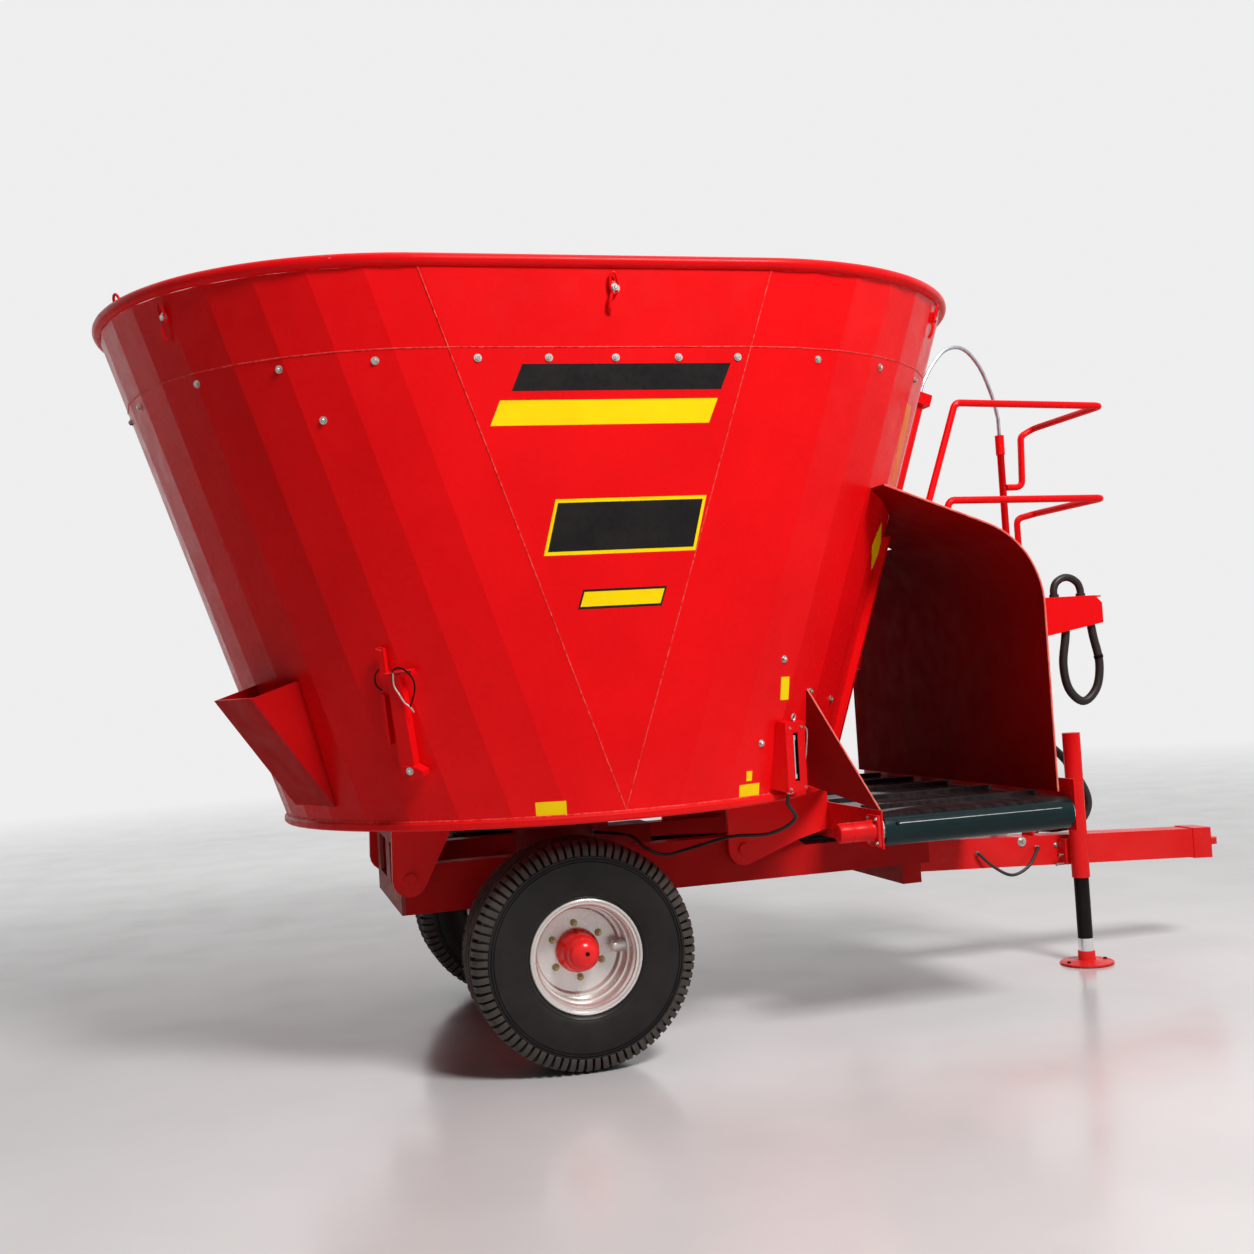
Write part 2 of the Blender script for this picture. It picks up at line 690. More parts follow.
def facet_corners(section):
    """A section of (angle, offset) corners with a point added wherever a side crosses one of the wall's bends."""
    full = []
    for (a, low), (b, high) in zip(section, section[1:] + section[:1]):
        full.append((a, low))
        crossings = [c for c in range(-180, 181, FACET) if min(a, b) + 0.01 < c < max(a, b) - 0.01]
        for c in sorted(crossings, reverse=b < a):
            full.append((c, low + (high - low) * (c - a) / (b - a)))
    return full


def build_ram(root, body):
    """The ram's barrel hangs from a clamp on the wall. Its rod is the door's."""
    out = Vector((SLIDE.z, 0, -SLIDE.x))
    high = wall_point(0, RAM_TOP) + out * RAM_OFFSET
    low = high - SLIDE * RAM_LENGTH
    bore = ROD_RADIUS + SEAT
    barrel = piece(
        "ram_barrel",
        turned(
            [
                (bore, 0),
                (RAM_RADIUS, 0),
                (RAM_RADIUS, RAM_LENGTH),
                (0, RAM_LENGTH),
                (0, RAM_LENGTH - RAM_CAP),
                (bore, RAM_LENGTH - RAM_CAP),
            ],
            low,
            SLIDE,
            16,
        ),
        root,
        RED,
    )
    clamp = box((-0.045, -0.050, SEAT), (0.045, 0, RAM_OFFSET + RAM_RADIUS + 0.012))
    combine(barrel, on_wall(clamp, 0, RAM_TOP), "UNION")
    top = FLOOR_TOP + OPENING_SILL + OPENING_HEIGHT + DOOR_OVERLAP
    foot = wall_point(0, top) + out * RAM_OFFSET + SLIDE * SEAT
    piece("ram_rod", rod(foot, low + SLIDE * ROD_GRIP, ROD_RADIUS), body, CHROME)


def build_frame(root):
    half, inner = FRAME_HALF_WIDTH, FRAME_HALF_WIDTH - BEAM_WIDTH
    side = [
        (FRAME_REAR_X + REAR_PLATE_THICK, FRAME_BOTTOM),
        (FRAME_FRONT_X, FRAME_BOTTOM),
        (FRAME_FRONT_X, FRAME_FRONT_TOP),
        (FRAME_STEP_X, FRAME_FRONT_TOP),
        (FRAME_STEP_X - 0.08, FRAME_TOP),
        (FRAME_REAR_X + REAR_PLATE_THICK, FRAME_TOP),
    ]
    for name, low, high in (("right", -half, -inner), ("left", inner, half)):
        piece(f"frame_beam_{name}", prism(side, "Y", low, high), root, RED)
    rear = piece(
        "frame_rear_plate",
        box(
            (FRAME_REAR_X, -half, FRAME_BOTTOM),
            (FRAME_REAR_X + REAR_PLATE_THICK - SEAT, half, REAR_PLATE_TOP),
        ),
        root,
        RED,
    )
    wide, tall = REAR_WINDOW
    middle, drop = REAR_WINDOW_PLACE
    for y in (-middle, middle):
        z = REAR_PLATE_TOP - drop
        window = box((FRAME_REAR_X - 0.05, y - wide / 2, z - tall), (FRAME_REAR_X + 0.05, y + wide / 2, z))
        combine(rear, window, "DIFFERENCE")
    inside = inner - SEAT
    front = piece(
        "frame_front_member",
        box(
            (FRAME_FRONT_X - 0.08, -inside, CROSSMEMBER_BOTTOM),
            (FRAME_FRONT_X - SEAT, inside, FRAME_FRONT_TOP),
        ),
        root,
        RED,
    )
    combine(front, drive_rod(FRAME_FRONT_X - 0.2, FRAME_FRONT_X + 0.2, DRIVE_RADIUS + SEAT), "DIFFERENCE")
    low_z = FRAME_BOTTOM + 0.004
    long, tall = INNER_MEMBER_SIZE
    for name, x in INNER_MEMBERS:
        member = box((x, -inside, low_z), (x + long, inside, low_z + tall))
        piece(f"frame_{name}_member", member, root, RED)


def drive_rod(low_x, high_x, radius):
    """A stretch of the driveline's line, as a round bar."""
    ends = [(x, 0, DRIVE_HEIGHT + DRIVE_SLOPE * (x - FRAME_FRONT_X)) for x in (low_x, high_x)]
    return rod(*ends, radius)


def build_drive(root):
    top = FLOOR_BOTTOM - SEAT
    bottom = top - GEARBOX_DEPTH
    gearbox = piece(
        "gearbox",
        turned(
            [
                (0, bottom),
                (GEARBOX_WAIST - 0.02, bottom),
                (GEARBOX_WAIST, bottom + 0.03),
                (GEARBOX_WAIST, top - 0.05),
                (GEARBOX_RADIUS, top - 0.04),
                (GEARBOX_RADIUS, top),
                (0, top),
            ],
            (FLOOR_X, 0, 0),
            (0, 0, 1),
            GEARBOX_STEPS,
        ),
        root,
        DARK_RED,
    )
    length, width, height = INLET_SIZE
    front = FLOOR_X + GEARBOX_RADIUS * 0.6 + length
    middle = DRIVE_HEIGHT + DRIVE_SLOPE * (front - FRAME_FRONT_X) + 0.02
    inlet = box((FLOOR_X, -width / 2, middle - height / 2), (front, width / 2, middle + height / 2))
    combine(gearbox, inlet, "UNION")
    start = front + SEAT + DRIVE_RADIUS * abs(DRIVE_SLOPE)
    guard = piece("driveline_guard", drive_rod(start, DRIVE_FRONT_X, DRIVE_RADIUS), root, BLACK)
    combine(guard, drive_rod(DRIVE_FRONT_X - 0.02, DRIVE_FRONT_X + 0.09, DRIVE_RADIUS * 0.58), "UNION")


def drawbar_z(x):
    """Height of the drawbar's axis."""
    share = (x - FRAME_FRONT_X) / (DRAWBAR_FRONT_X - FRAME_FRONT_X)
    return DRAWBAR_REAR_Z + (DRAWBAR_FRONT_Z - DRAWBAR_REAR_Z) * share


def drawbar_block(low_x, high_x, proud):
    """A stretch of the drawbar, thicker by proud on every long side."""
    tall = DRAWBAR_HEIGHT / 2 + proud
    outline = [
        (low_x, drawbar_z(low_x) - tall),
        (high_x, drawbar_z(high_x) - tall),
        (high_x, drawbar_z(high_x) + tall),
        (low_x, drawbar_z(low_x) + tall),
    ]
    return prism(outline, "Y", -DRAWBAR_WIDTH / 2 - proud, DRAWBAR_WIDTH / 2 + proud)


def build_drawbar(root):
    bar = piece("drawbar", drawbar_block(FRAME_FRONT_X + SEAT, DRAWBAR_FRONT_X, 0), root, RED)
    head = drawbar_block(DRAWBAR_FRONT_X - HEAD_LENGTH, DRAWBAR_FRONT_X + HEAD_PROUD, HEAD_PROUD)
    combine(bar, head, "UNION")
    foot = drawbar_z(BULKHEAD_X) + DRAWBAR_HEIGHT / 2 - 0.004
    low, high = BULKHEAD_Y
    plate = box((BULKHEAD_X - BULKHEAD_THICK, low, foot), (BULKHEAD_X, high, BULKHEAD_TOP))
    combine(bar, plate, "UNION")
    face = DRAWBAR_FRONT_X + HEAD_PROUD + SEAT
    z = DRAWBAR_FRONT_Z
    shape = [(face, EYE_RADIUS)] + arc((EYE_X, 0), EYE_RADIUS, 90, -90, 12) + [(face, -EYE_RADIUS)]
    low = z - EYE_THICK / 2
    eye = piece("tow_eye", prism(shape, "Z", low, low + EYE_THICK), root, RED)
    combine(eye, rod((EYE_X, 0, low - 0.01), (EYE_X, 0, low + EYE_THICK + 0.01), EYE_BORE), "DIFFERENCE")


def build_axle(root):
    half = AXLE_SIZE / 2
    axle = piece(
        "axle_beam",
        box((-half, -AXLE_HALF_LENGTH, TYRE_RADIUS - half), (half, AXLE_HALF_LENGTH, TYRE_RADIUS + half)),
        root,
        DARK_RED,
    )
    seat_y = FRAME_HALF_WIDTH - BEAM_WIDTH / 2
    for side in (-1, 1):
        y = side * seat_y
        seat = box((-0.09, y - 0.035, TYRE_RADIUS + half - 0.01), (0.09, y + 0.035, FRAME_BOTTOM - SEAT))
        combine(axle, seat, "UNION")
        inner = side * (AXLE_HALF_LENGTH - 0.02)
        outer = side * (WHEEL_Y + RIM_WIDTH / 2 - DISC_RECESS + 0.015)
        combine(axle, rod((0, inner, TYRE_RADIUS), (0, outer, TYRE_RADIUS), SPINDLE_RADIUS), "UNION")


def lugged_tyre(centre, bead):
    """A tyre as closed sections round its axle, by turns through a shoulder lug and through a groove."""
    half = TYRE_WIDTH / 2
    sidewall = [
        (RIM_SEAT_RADIUS + SEAT, bead),
        (RIM_FLANGE_RADIUS + 0.001, bead),
        (RIM_FLANGE_RADIUS + 0.030, half - 0.009),
        (RIM_FLANGE_RADIUS + 0.085, half),
        (TYRE_RADIUS - 0.062, half - 0.004),
    ]
    sections = []
    for k in range(2 * LUGS):
        turn = math.tau * k / (2 * LUGS)
        radial, across = Vector((math.cos(turn), 0, math.sin(turn))), Vector((0, 1, 0))
        edge = [(TYRE_RADIUS - drop, half - inset) for drop, inset in (GROOVE if k % 2 else SHOULDER)]
        profile = sidewall + edge
        profile += [(r, -h) for r, h in reversed(profile)]
        sections.append([centre + radial * r + across * h for r, h in profile])
    return skin(sections)


def build_wheel(name, side, body):
    """One wheel. Distances in the profiles run outwards along the axle from the tyre's middle."""
    centre, axis = (0, side * WHEEL_Y, TYRE_RADIUS), (0, side, 0)
    flange = RIM_WIDTH / 2
    lip = flange - 0.006
    piece(f"tyre_{name}", lugged_tyre(Vector(centre), lip - 3 * SEAT), body, TYRE_RUBBER)
    seat = RIM_SEAT_RADIUS - SEAT
    disc = flange - DISC_RECESS
    bore = HUB_RADIUS + HUB_ROOM
    rim = [
        (seat, lip - 2 * SEAT),
        (RIM_FLANGE_RADIUS, lip - SEAT),
        (RIM_FLANGE_RADIUS, flange),
        (RIM_FLANGE_RADIUS - 0.010, flange),
        (seat - RIM_WALL + 0.003, flange - 0.022),
        (seat - RIM_WALL, flange - 0.060),
        (seat - RIM_WALL - 0.008, flange - 0.075),
        (seat - RIM_WALL - 0.008, disc + 0.012),
        (seat - RIM_WALL - 0.020, disc),
        (bore, disc),
        (bore, disc - DISC_THICK),
        (seat - RIM_WALL - 0.014, disc - DISC_THICK),
        (seat - RIM_WALL, disc - DISC_THICK - 0.012),
        (seat - RIM_WALL, 0.012 - flange),
        (RIM_FLANGE_RADIUS - 0.010, -flange),
        (RIM_FLANGE_RADIUS, -flange),
        (RIM_FLANGE_RADIUS, SEAT - lip),
        (seat, 2 * SEAT - lip),
    ]
    rim = piece(f"rim_{name}", turned(rim, centre, axis, RIM_STEPS), body, SILVER)
    inner, outer, depth, radius = STUB
    ends = [Vector(centre) + Vector((reach, side * depth, 0)) for reach in (inner, outer)]
    combine(rim, rod(*ends, radius, 16), "UNION")
    back = disc - DISC_THICK - SEAT
    hole = SPINDLE_RADIUS + SEAT
    end = AXLE_HALF_LENGTH - WHEEL_Y + RUNNING
    hub = [
        (hole, end),
        (0.052, end),
        (0.058, back - 0.030),
        (HUB_FLANGE_RADIUS, back - 0.018),
        (HUB_FLANGE_RADIUS, back),
        (HUB_RADIUS, back),
        (HUB_RADIUS, disc + 0.020),
        (HUB_RADIUS - 0.010, disc + 0.034),
        (HUB_RADIUS - 0.012, disc + 0.070),
        (HUB_RADIUS - 0.022, disc + 0.084),
        (HUB_RADIUS - 0.026, disc + 0.110),
        (HUB_RADIUS - 0.045, disc + HUB_REACH - 0.004),
        (0, disc + HUB_REACH),
        (0, disc + 0.030),
        (hole, disc + 0.030),
    ]
    piece(f"hub_{name}", turned(hub, centre, axis, 24), body, RED)


def bracket_outline(top, pin, radius, foot_turns):
    """A plate from its top edge down to a round end about its pin."""
    return top + arc(pin, radius, *foot_turns, 8)


def build_brackets(root):
    """Four plates that hang from the floor, each with a pin into the frame's side."""
    under = FLOOR_BOTTOM - SEAT
    arm = CONVEYOR_REAR_X - SEAT
    rear_pin, (rear_back, rear_front), rear_radius = REAR_BRACKET
    front_pin, front_back, front_radius = FRONT_BRACKET
    arm_z, arm_corner = FRONT_BRACKET_ARM
    front_top = [(front_back, under), (arm, under), (arm, arm_z), arm_corner]
    shapes = {
        "rear": (rear_pin, [(rear_back, under), (rear_front, under)], rear_radius, (-20, -180)),
        "front": (front_pin, front_top, front_radius, (-70, -180)),
    }
    inner = FRAME_HALF_WIDTH + BRACKET_GAP
    for side, word in ((-1, "right"), (1, "left")):
        for end, (pin, top, radius, turns) in shapes.items():
            low, high = sorted((side * inner, side * (inner + BRACKET_THICK)))
            plate = prism(bracket_outline(top, pin, radius, turns), "Y", low, high)
            bracket = piece(f"cell_bracket_{end}_{word}", plate, root, RED)
            start = (pin[0], side * (FRAME_HALF_WIDTH + SEAT), pin[1])
            finish = (pin[0], side * (inner + BRACKET_THICK + BRACKET_PIN_PROUD), pin[1])
            combine(bracket, rod(start, finish, BRACKET_PIN_RADIUS), "UNION")


def belt_loop(inner, half_width):
    """The belt's outline round both pulleys, as pairs of y and z."""
    radius = PULLEY_RADIUS + (SEAT if inner else BELT_THICK)
    steps = PULLEY_STEPS // 2
    near = arc((half_width, PULLEY_Z), radius, -90, 90, steps)
    return near + arc((-half_width, PULLEY_Z), radius, 90, 270, steps)


def build_conveyor(root):
    rear, front = CONVEYOR_REAR_X, CONVEYOR_FRONT_X
    thick, half = SIDE_PLATE_THICK, CONVEYOR_HALF_LENGTH - 0.010
    hang = FLOOR_BOTTOM - SEAT
    rear_plate = [
        (-half, SIDE_PLATE_BOTTOM),
        (half, SIDE_PLATE_BOTTOM),
        (half, REAR_PLATE_EDGE),
        (HANGER_HALF_WIDTH + 0.04, REAR_PLATE_EDGE),
        (HANGER_HALF_WIDTH, hang),
        (-HANGER_HALF_WIDTH, hang),
        (-HANGER_HALF_WIDTH - 0.04, REAR_PLATE_EDGE),
        (-half, REAR_PLATE_EDGE),
    ]
    frame = piece("conveyor_frame", prism(rear_plate, "X", rear, rear + thick), root, RED)
    front_plate = box((front - thick, -half, SIDE_PLATE_BOTTOM), (front, half, FRONT_PLATE_EDGE))
    combine(frame, front_plate, "UNION")
    bed_top = BELT_TOP - BELT_THICK - 2 * SEAT
    bed_half = PULLEY_Y - PULLEY_RADIUS - 0.02
    bed = box((rear + 0.001, -bed_half, bed_top - BED_THICK), (front - 0.001, bed_half, bed_top))
    combine(frame, bed, "UNION")
    low, high = rear + thick + BELT_SIDE_ROOM, front - thick - BELT_SIDE_ROOM
    belt = skin(
        [
            [(x, y, z) for y, z in belt_loop(inner, PULLEY_Y)]
            for x, inner in ((low, False), (high, False), (high, True), (low, True))
        ]
    )
    belt = piece("conveyor_belt", belt, root, BELT_GREEN)
    span = int(PULLEY_Y / SLAT_PITCH)
    for k in range(-span, span + 1):
        y = k * SLAT_PITCH
        for z, up in ((BELT_TOP, 1), (PULLEY_Z - PULLEY_RADIUS - BELT_THICK, -1)):
            ends = sorted((z - up * 0.001, z + up * SLAT_HEIGHT))
            slat = box((low + 0.02, y - SLAT_WIDTH / 2, ends[0]), (high - 0.02, y + SLAT_WIDTH / 2, ends[1]))
            combine(belt, slat, "UNION")
    for side, word in ((-1, "right"), (1, "left")):
        y = side * PULLEY_Y
        ends = [(rear + thick + SEAT, y, PULLEY_Z), (front - thick - SEAT, y, PULLEY_Z)]
        roller = rod(*ends, PULLEY_RADIUS * math.cos(math.pi / PULLEY_STEPS) - SEAT, PULLEY_STEPS)
        piece(f"conveyor_roller_{word}", roller, root, BARE_STEEL)
    y = -PULLEY_Y
    flange = rear - SEAT
    barrel = rod((flange - MOTOR_LENGTH, y, PULLEY_Z), (flange, y, PULLEY_Z), MOTOR_RADIUS, 20)
    motor = piece("conveyor_motor", barrel, root, RED)
    plate = box((flange - 0.014, y - 0.045, PULLEY_Z - 0.055), (flange, y + 0.045, PULLEY_Z + 0.055))
    combine(motor, plate, "UNION")


def hood_outline():
    """The hood's sheet seen from the side: its top, its bend and its front, then back along the inside."""
    fall = math.radians(HOOD_PITCH)

    def line(inset):
        front = HOOD_FRONT_X - inset
        radius = HOOD_BEND - inset
        centre_x = HOOD_FRONT_X - HOOD_BEND
        foot = Vector((HOOD_REAR_X, HOOD_REAR_Z)) - Vector((math.sin(fall), math.cos(fall))) * inset
        crest_z = HOOD_REAR_Z - math.tan(fall) * (centre_x + HOOD_BEND * math.sin(fall) - HOOD_REAR_X)
        centre_z = crest_z - HOOD_BEND * math.cos(fall)
        bend = arc((centre_x, centre_z), radius, 90 - HOOD_PITCH, 0, HOOD_BEND_STEPS)
        return [tuple(foot)] + bend + [(front, HOOD_BOTTOM)]

    return line(0) + line(HOOD_THICK)[::-1]


def build_hood(root):
    half = HOOD_HALF_WIDTH
    hood = piece("hood", prism(hood_outline(), "Y", -half, half), root, RED)
    combine(hood, tub_filler(), "DIFFERENCE")
    wide, slot_front, slot_foot = HOOD_SLOT
    slot = box((HOOD_REAR_X, -wide / 2, slot_foot), (slot_front, wide / 2, HOOD_REAR_Z + 0.05))
    combine(hood, slot, "DIFFERENCE")
    z = FRONT_PLATE_EDGE + SEAT
    wide, thick = TAB_SIZE
    for y in HOOD_TABS:
        tab = box((HOOD_FRONT_X - 0.003, y - wide / 2, z), (CONVEYOR_FRONT_X + 0.006, y + wide / 2, z + thick))
        combine(hood, tab, "UNION")


def build_spill_plates(root):
    """Sheets that close the gap between the wall and the conveyor's rear corners."""
    for side, word in ((-1, "right"), (1, "left")):
        top = wall_point(side * SPILL_TOP[0], SPILL_TOP[1])
        heel = wall_point(side * SPILL_HEEL[0], SPILL_HEEL[1])
        toe = Vector((CONVEYOR_REAR_X + 0.004, side * (CONVEYOR_HALF_LENGTH - 0.025), REAR_PLATE_EDGE + SEAT))
        lower, upper = SPILL_REACH
        inner = toe + (heel - toe) * lower
        corners = [toe, top, top + (inner - heel) * upper, inner]
        normal = (top - toe).cross(heel - toe).normalized() * SHEET / 2
        plate = loft([[c - normal for c in corners], [c + normal for c in corners]])
        plate = piece(f"spill_plate_{word}", plate, root, RED)
        combine(plate, tub_filler(), "DIFFERENCE")
        floor_cut = box((0, -1.5, 0), (CONVEYOR_REAR_X + 0.1, 1.5, REAR_PLATE_EDGE + SEAT))
        combine(plate, floor_cut, "DIFFERENCE")


def build_platform(root):
    low_y, high_y = PLATFORM_Y
    start = HOOD_FRONT_X + SEAT
    front = PLATFORM_FRONT_X
    floor = box((start, low_y, PLATFORM_TOP - PLATFORM_THICK), (front, high_y, PLATFORM_TOP))
    platform = piece("platform", floor, root, RED)
    cheek = [
        (start, PLATFORM_TOP + 0.001),
        (front - 0.03, PLATFORM_TOP + 0.001),
        (front, PLATFORM_TOP - 0.03),
        (front, PLATFORM_TOP - CHEEK_TIP),
        (start, PLATFORM_TOP - CHEEK_ROOT),
    ]
    for low, high in ((low_y - CHEEK_THICK, low_y + 0.001), (high_y - 0.001, high_y + CHEEK_THICK)):
        combine(platform, prism(cheek, "Y", low, high), "UNION")
    foot_y, foot_z = LADDER_FOOT
    top_y, top_z = high_y + 0.002, PLATFORM_TOP - 0.02
    for x in LADDER_X:
        combine(platform, ladder_side(x, (top_y, top_z), (foot_y, foot_z - LADDER_TAIL)), "UNION")
    for k in range(RUNGS):
        share = k / (RUNGS - 0.2)
        y, z = foot_y + (top_y - foot_y) * share, foot_z + (top_z - foot_z) * share
        combine(platform, rod((LADDER_X[0] - 0.01, y, z), (LADDER_X[1] + 0.01, y, z), RUNG_RADIUS, 10), "UNION")


def ladder_side(x, top, foot):
    """One side rail of the ladder, a flat bar."""
    (ty, tz), (fy, fz) = top, foot
    along = Vector((0, ty - fy, tz - fz)).normalized()
    thick, deep = LADDER_BAR
    across = Vector((0, along.z, -along.y)) * deep / 2
    wide = Vector((thick / 2, 0, 0))
    ends = [Vector((x, ty, tz)) + along * 0.01, Vector((x, fy, fz))]
    return loft([[e - across - wide, e + across - wide, e + across + wide, e - across + wide] for e in ends])


def hood_top_z(x):
    """Height of the hood's outer face on its sloping top."""
    return HOOD_REAR_Z - math.tan(math.radians(HOOD_PITCH)) * (x - HOOD_REAR_X)


def build_rails(root):
    near, far = PLATFORM_Y[0] + RAIL_SIDE, PLATFORM_Y[1] - RAIL_SIDE - CHEEK_THICK
    deck = PLATFORM_TOP + SEAT
    foot, front, top = HOOD_FRONT_X - UPPER_RAIL_FOOT, PLATFORM_FRONT_X + RAIL_OVERHANG, UPPER_RAIL_Z
    hang = top - UPPER_RAIL_HANG
    upper = [
        (foot, near, hood_top_z(foot) + RAIL_SEAT),
        (foot + UPPER_RAIL_LEAN, near, top + 0.020),
        (front, near, top),
        (front, far, top),
        (POST_X + 0.105, far, top - 0.032),
        (POST_X + 0.095, far, hang),
        (POST_X + POST_RADIUS + SEAT, far, hang),
    ]
    pipe("guard_rail_upper", rounded(upper, RAIL_BEND), RAIL_RADIUS, root, RED)
    foot, front, top = HOOD_FRONT_X - LOWER_RAIL_FOOT, PLATFORM_FRONT_X + LOWER_RAIL_OVERHANG, LOWER_RAIL_Z
    drop = POST_X + 0.057
    lower = [
        (foot, near, hood_top_z(foot) + RAIL_SEAT),
        (foot + LOWER_RAIL_LEAN, near, top + 0.010),
        (front, near, top),
        (front, far, top),
        (drop, far, top - 0.020),
        (drop, far, deck),
    ]
    pipe("guard_rail_lower", rounded(lower, RAIL_BEND), RAIL_RADIUS, root, RED)
    post = piece("indicator_post", rod((POST_X, far, deck), (POST_X, far, POST_TOP), POST_RADIUS, 12), root, RED)
    sleeve = rod((POST_X, far, POST_TOP - SLEEVE_LENGTH), (POST_X, far, POST_TOP), POST_RADIUS + 0.004, 12)
    combine(post, sleeve, "UNION")
    head = wall_point(0, RAM_TOP) + Vector((SLIDE.z, 0, -SLIDE.x)) * RAM_OFFSET
    arch = [head + SLIDE * SEAT, head + SLIDE * 0.050]
    for share, height in ARCH:
        arch.append((head.x + (POST_X - head.x) * share, far * share, height))
    arch += [(POST_X, far, POST_TOP + 0.075), (POST_X, far, POST_TOP + SEAT)]
    pipe("indicator_tube", hose_path(arch, 25), INDICATOR_RADIUS, root, BARE_STEEL)


def build_jack(root, body):
    centre = (JACK_X, JACK_Y, 0)
    bore = JACK_LEG_RADIUS + SEAT
    tube = piece(
        "jack_tube",
        turned(
            [
                (bore, JACK_TUBE_BOTTOM),
                (JACK_TUBE_RADIUS, JACK_TUBE_BOTTOM),
                (JACK_TUBE_RADIUS, JACK_TOP),
                (0, JACK_TOP),
                (0, JACK_TOP - JACK_CAP),
                (bore, JACK_TOP - JACK_CAP),
            ],
            centre,
            (0, 0, 1),
            20,
        ),
        root,
        RED,
    )
    z = drawbar_z(JACK_X)
    inner = -DRAWBAR_WIDTH / 2 - SEAT
    clamp = box((JACK_X - 0.045, JACK_Y + JACK_TUBE_RADIUS - 0.004, z - 0.055), (JACK_X + 0.045, inner, z + 0.050))
    combine(tube, clamp, "UNION")
    leg = turned(
        [
            (0, 0),
            (FOOT_RADIUS - 0.008, 0),
            (FOOT_RADIUS, 0.003),
            (FOOT_RADIUS, FOOT_THICK),
            (SOCKET_RADIUS, FOOT_THICK + 0.012),
            (SOCKET_RADIUS, JACK_SOCKET_TOP),
            (JACK_LEG_RADIUS, JACK_SOCKET_TOP),
            (JACK_LEG_RADIUS, JACK_LEG_TOP),
            (0, JACK_LEG_TOP),
        ],
        centre,
        (0, 0, 1),
        20,
    )
    piece("jack_leg", leg, body, BLACK)


def wall_prism(outline, reach, angle, height):
    """An outline of (out, up) pairs on the wall, extruded across it by reach to both sides."""
    bm = prism([(up, out) for out, up in outline], "X", -reach, reach)
    return on_wall(bm, angle, height)


def build_pocket(root):
    """The pocket on the tub's rear, open at the top."""
    deep, top = POCKET_DEPTH, POCKET_HEIGHT
    place = POCKET_ANGLE, POCKET_FOOT
    wedge = [(-POCKET_BACK, -0.010), (0.0, -0.010), (deep, top), (-POCKET_BACK, top)]
    sill, mouth = SHEET * 2, top + 0.02
    hollow = [(-POCKET_BACK - 0.05, sill), (0.0, sill), (deep - SHEET, mouth), (-POCKET_BACK - 0.05, mouth)]
    pocket = piece("rear_pocket", wall_prism(wedge, POCKET_WIDTH / 2, *place), root, RED)
    combine(pocket, wall_prism(hollow, POCKET_WIDTH / 2 - SHEET, *place), "DIFFERENCE")
    combine(pocket, tub_filler(), "DIFFERENCE")


def build_knife_holders(root):
    """A counter-knife's holder on each side: plates and bars that lie on one back plate."""
    for side, word in ((-1, "right"), (1, "left")):
        holder = None
        for outline, low, high in HOLDER:
            shape = prism([(-side * across, up) for across, up in outline], "Z", low, high)
            shape = on_wall(shape, side * COUNTER_KNIFE_ANGLE, COUNTER_KNIFE_FOOT)
            if holder:
                combine(holder, shape, "UNION")
            else:
                holder = piece(f"counter_knife_{word}", shape, root, RED)


def build_reservoir(root):
    """The oil reservoir, with an upright front and a sight window sunk in it."""
    across, up, out = RESERVOIR_SIZE
    tank = [(SEAT, 0), (out, 0), (RESERVOIR_TOP_DEPTH, up), (SEAT, up)]
    place = RESERVOIR_ANGLE, RESERVOIR_FOOT
    tank = piece("oil_reservoir", wall_prism(tank, across / 2, *place), root, RED)
    half_width, low, high, depth = SIGHT_WINDOW
    slope = (RESERVOIR_TOP_DEPTH - out) / up
    ends = [(out + slope * z, z) for z in (low, high)]
    window = [(ends[0][0] - depth, low), (ends[0][0] + 0.02, low), (ends[1][0] + 0.02, high), (ends[1][0] - depth, high)]
    combine(tank, wall_prism(window, half_width, *place), "DIFFERENCE")


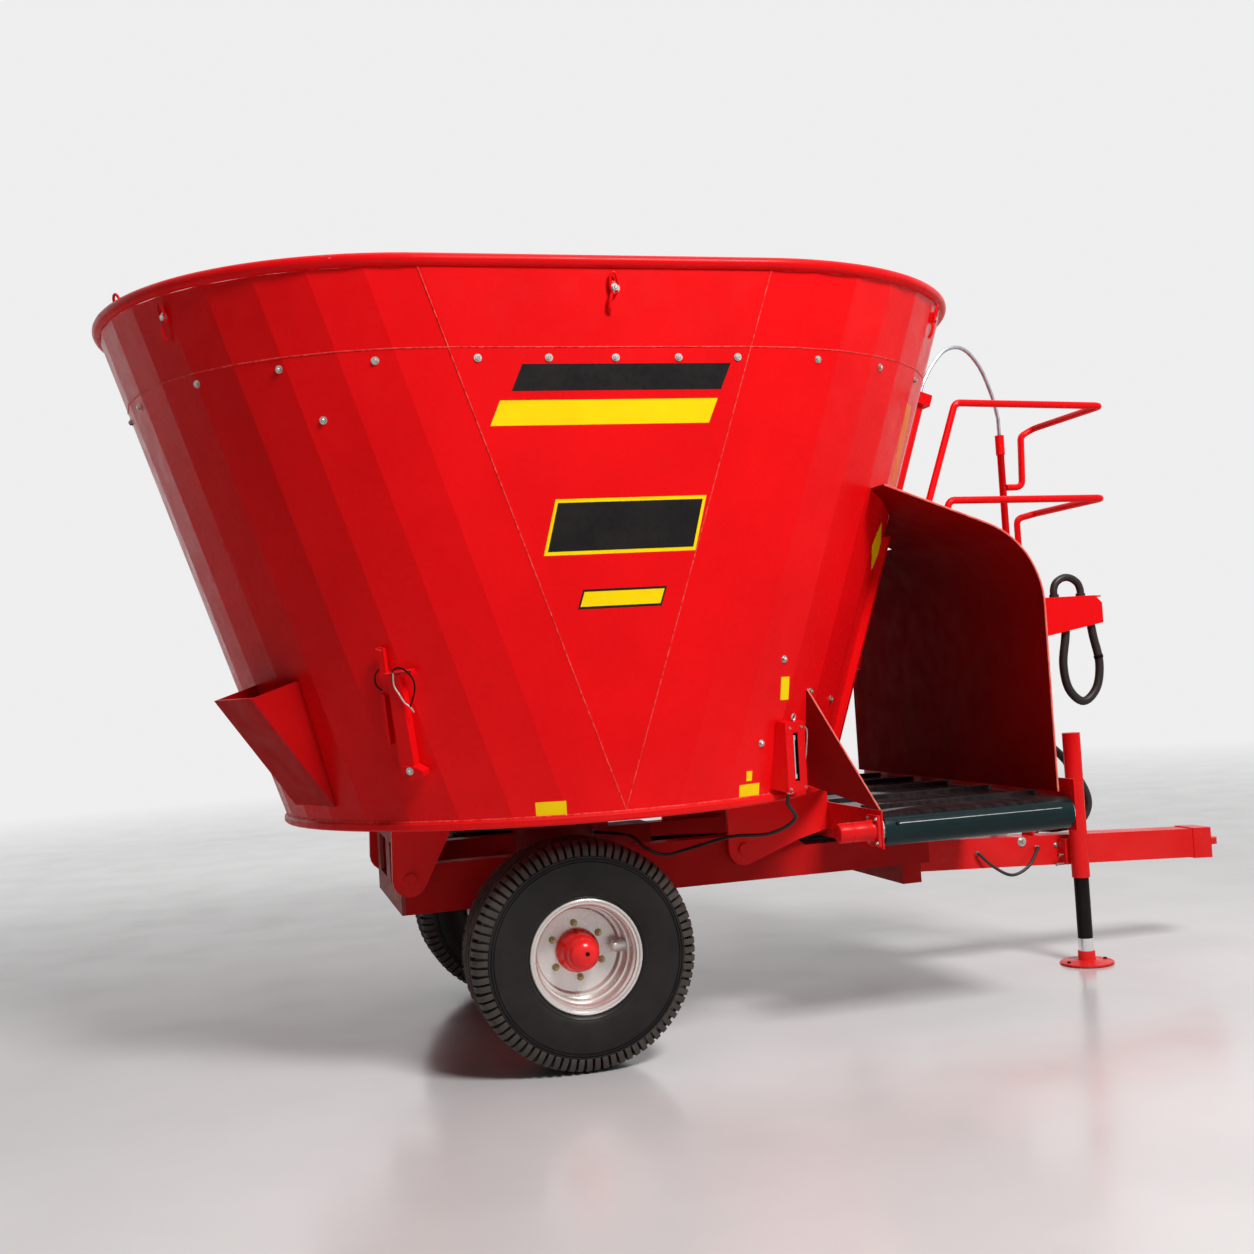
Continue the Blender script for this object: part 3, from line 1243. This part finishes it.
def build_hoses(root):
    turn, foot = wall_frame(RESERVOIR_ANGLE, RESERVOIR_FOOT)
    up, out = turn.col[1].xyz, turn.col[2].xyz
    outlet = foot + out * RESERVOIR_SIZE[2] / 2 - up * SEAT
    facet = math.tau / GEARBOX_STEPS
    radial = Vector((math.cos(-5.5 * facet), math.sin(-5.5 * facet), 0))
    inlet = Vector((FLOOR_X, 0, OIL_INLET_Z)) + radial * (GEARBOX_WAIST * math.cos(facet / 2) + SEAT)
    side = -DRAWBAR_WIDTH / 2 - SEAT
    under = PLATFORM_TOP - PLATFORM_THICK - SEAT
    behind = PLATFORM_Y[0] + HOSE_BEHIND_CHEEK
    routes = {
        "hose_loop_upper": (
            HOSE_BUNDLE_RADIUS,
            19,
            [
                (2.150, behind, under),
                (2.150, behind, 1.470),
                (2.138, behind, 1.370),
                (2.120, behind, 1.260),
                (2.138, behind, 1.160),
                (2.200, behind, 1.108),
                (2.264, behind, 1.160),
                (2.284, behind, 1.260),
                (2.264, behind, 1.370),
                (2.250, behind, 1.470),
                (2.250, behind, under),
            ],
        ),
        "hose_loop_lower": (
            HOSE_BUNDLE_RADIUS,
            27,
            [
                (HOOD_FRONT_X + SEAT, 0.000, 1.150),
                (1.850, 0.000, 1.150),
                (2.000, -0.030, 1.060),
                (2.160, -0.040, 0.985),
                (2.300, -0.040, 0.880),
                (2.400, -0.035, 0.750),
                (2.440, -0.020, 0.650),
                (2.400, -0.005, 0.573),
                (2.300, 0.000, 0.555),
                (2.210, 0.005, 0.562),
                (BULKHEAD_X + SEAT, 0.005, 0.562),
            ],
        ),
        "reservoir_hose": (
            HOSE_RADIUS,
            33,
            [
                outlet,
                outlet - up * 0.050,
                (0.765, -0.850, 0.790),
                (0.700, -0.770, 0.738),
                (0.590, -0.650, 0.725),
                (0.480, -0.510, 0.680),
                (0.400, -0.465, 0.660),
                (0.330, -0.452, 0.690),
                (0.295, -0.415, 0.728),
                (0.280, -0.350, 0.735),
                inlet + radial * 0.080,
                inlet,
            ],
        ),
        "conveyor_hose": (
            HOSE_RADIUS,
            17,
            [
                (1.870, side, 0.490),
                (1.870, side - 0.020, 0.490),
                (1.930, side - 0.035, 0.430),
                (2.010, side - 0.035, 0.390),
                (2.090, side - 0.035, 0.420),
                (2.150, side - 0.020, 0.490),
                (2.150, side, 0.490),
            ],
        ),
    }
    for name, (radius, count, points) in routes.items():
        pipe(name, hose_path(points, count), radius, root, BLACK)


def main():
    for obj in list(bpy.data.objects):
        bpy.data.objects.remove(obj, do_unlink=True)
    wagon = empty("wagon", (-MIDDLE_X, 0, 0), None)
    root = empty("chassis", (0, 0, 0), wagon)
    auger = empty("auger_axis", (FLOOR_X, 0, FLOOR_TOP), wagon)
    door = empty("door_slide_axis", wall_point(0, FLOOR_TOP), wagon)
    jack = empty("jack_axis", (JACK_X, JACK_Y, 0), wagon)
    build_tub(root)
    build_auger(auger)
    build_door(door, root)
    build_ram(root, door)
    build_frame(root)
    build_drive(root)
    build_drawbar(root)
    build_axle(root)
    build_brackets(root)
    build_conveyor(root)
    build_hood(root)
    build_spill_plates(root)
    build_platform(root)
    build_rails(root)
    build_jack(root, jack)
    build_pocket(root)
    build_knife_holders(root)
    build_reservoir(root)
    build_hoses(root)
    for side, word in ((-1, "right"), (1, "left")):
        hub = empty(f"axle_{word}", (0, side * WHEEL_Y, TYRE_RADIUS), wagon)
        build_wheel(word, side, hub)


main()
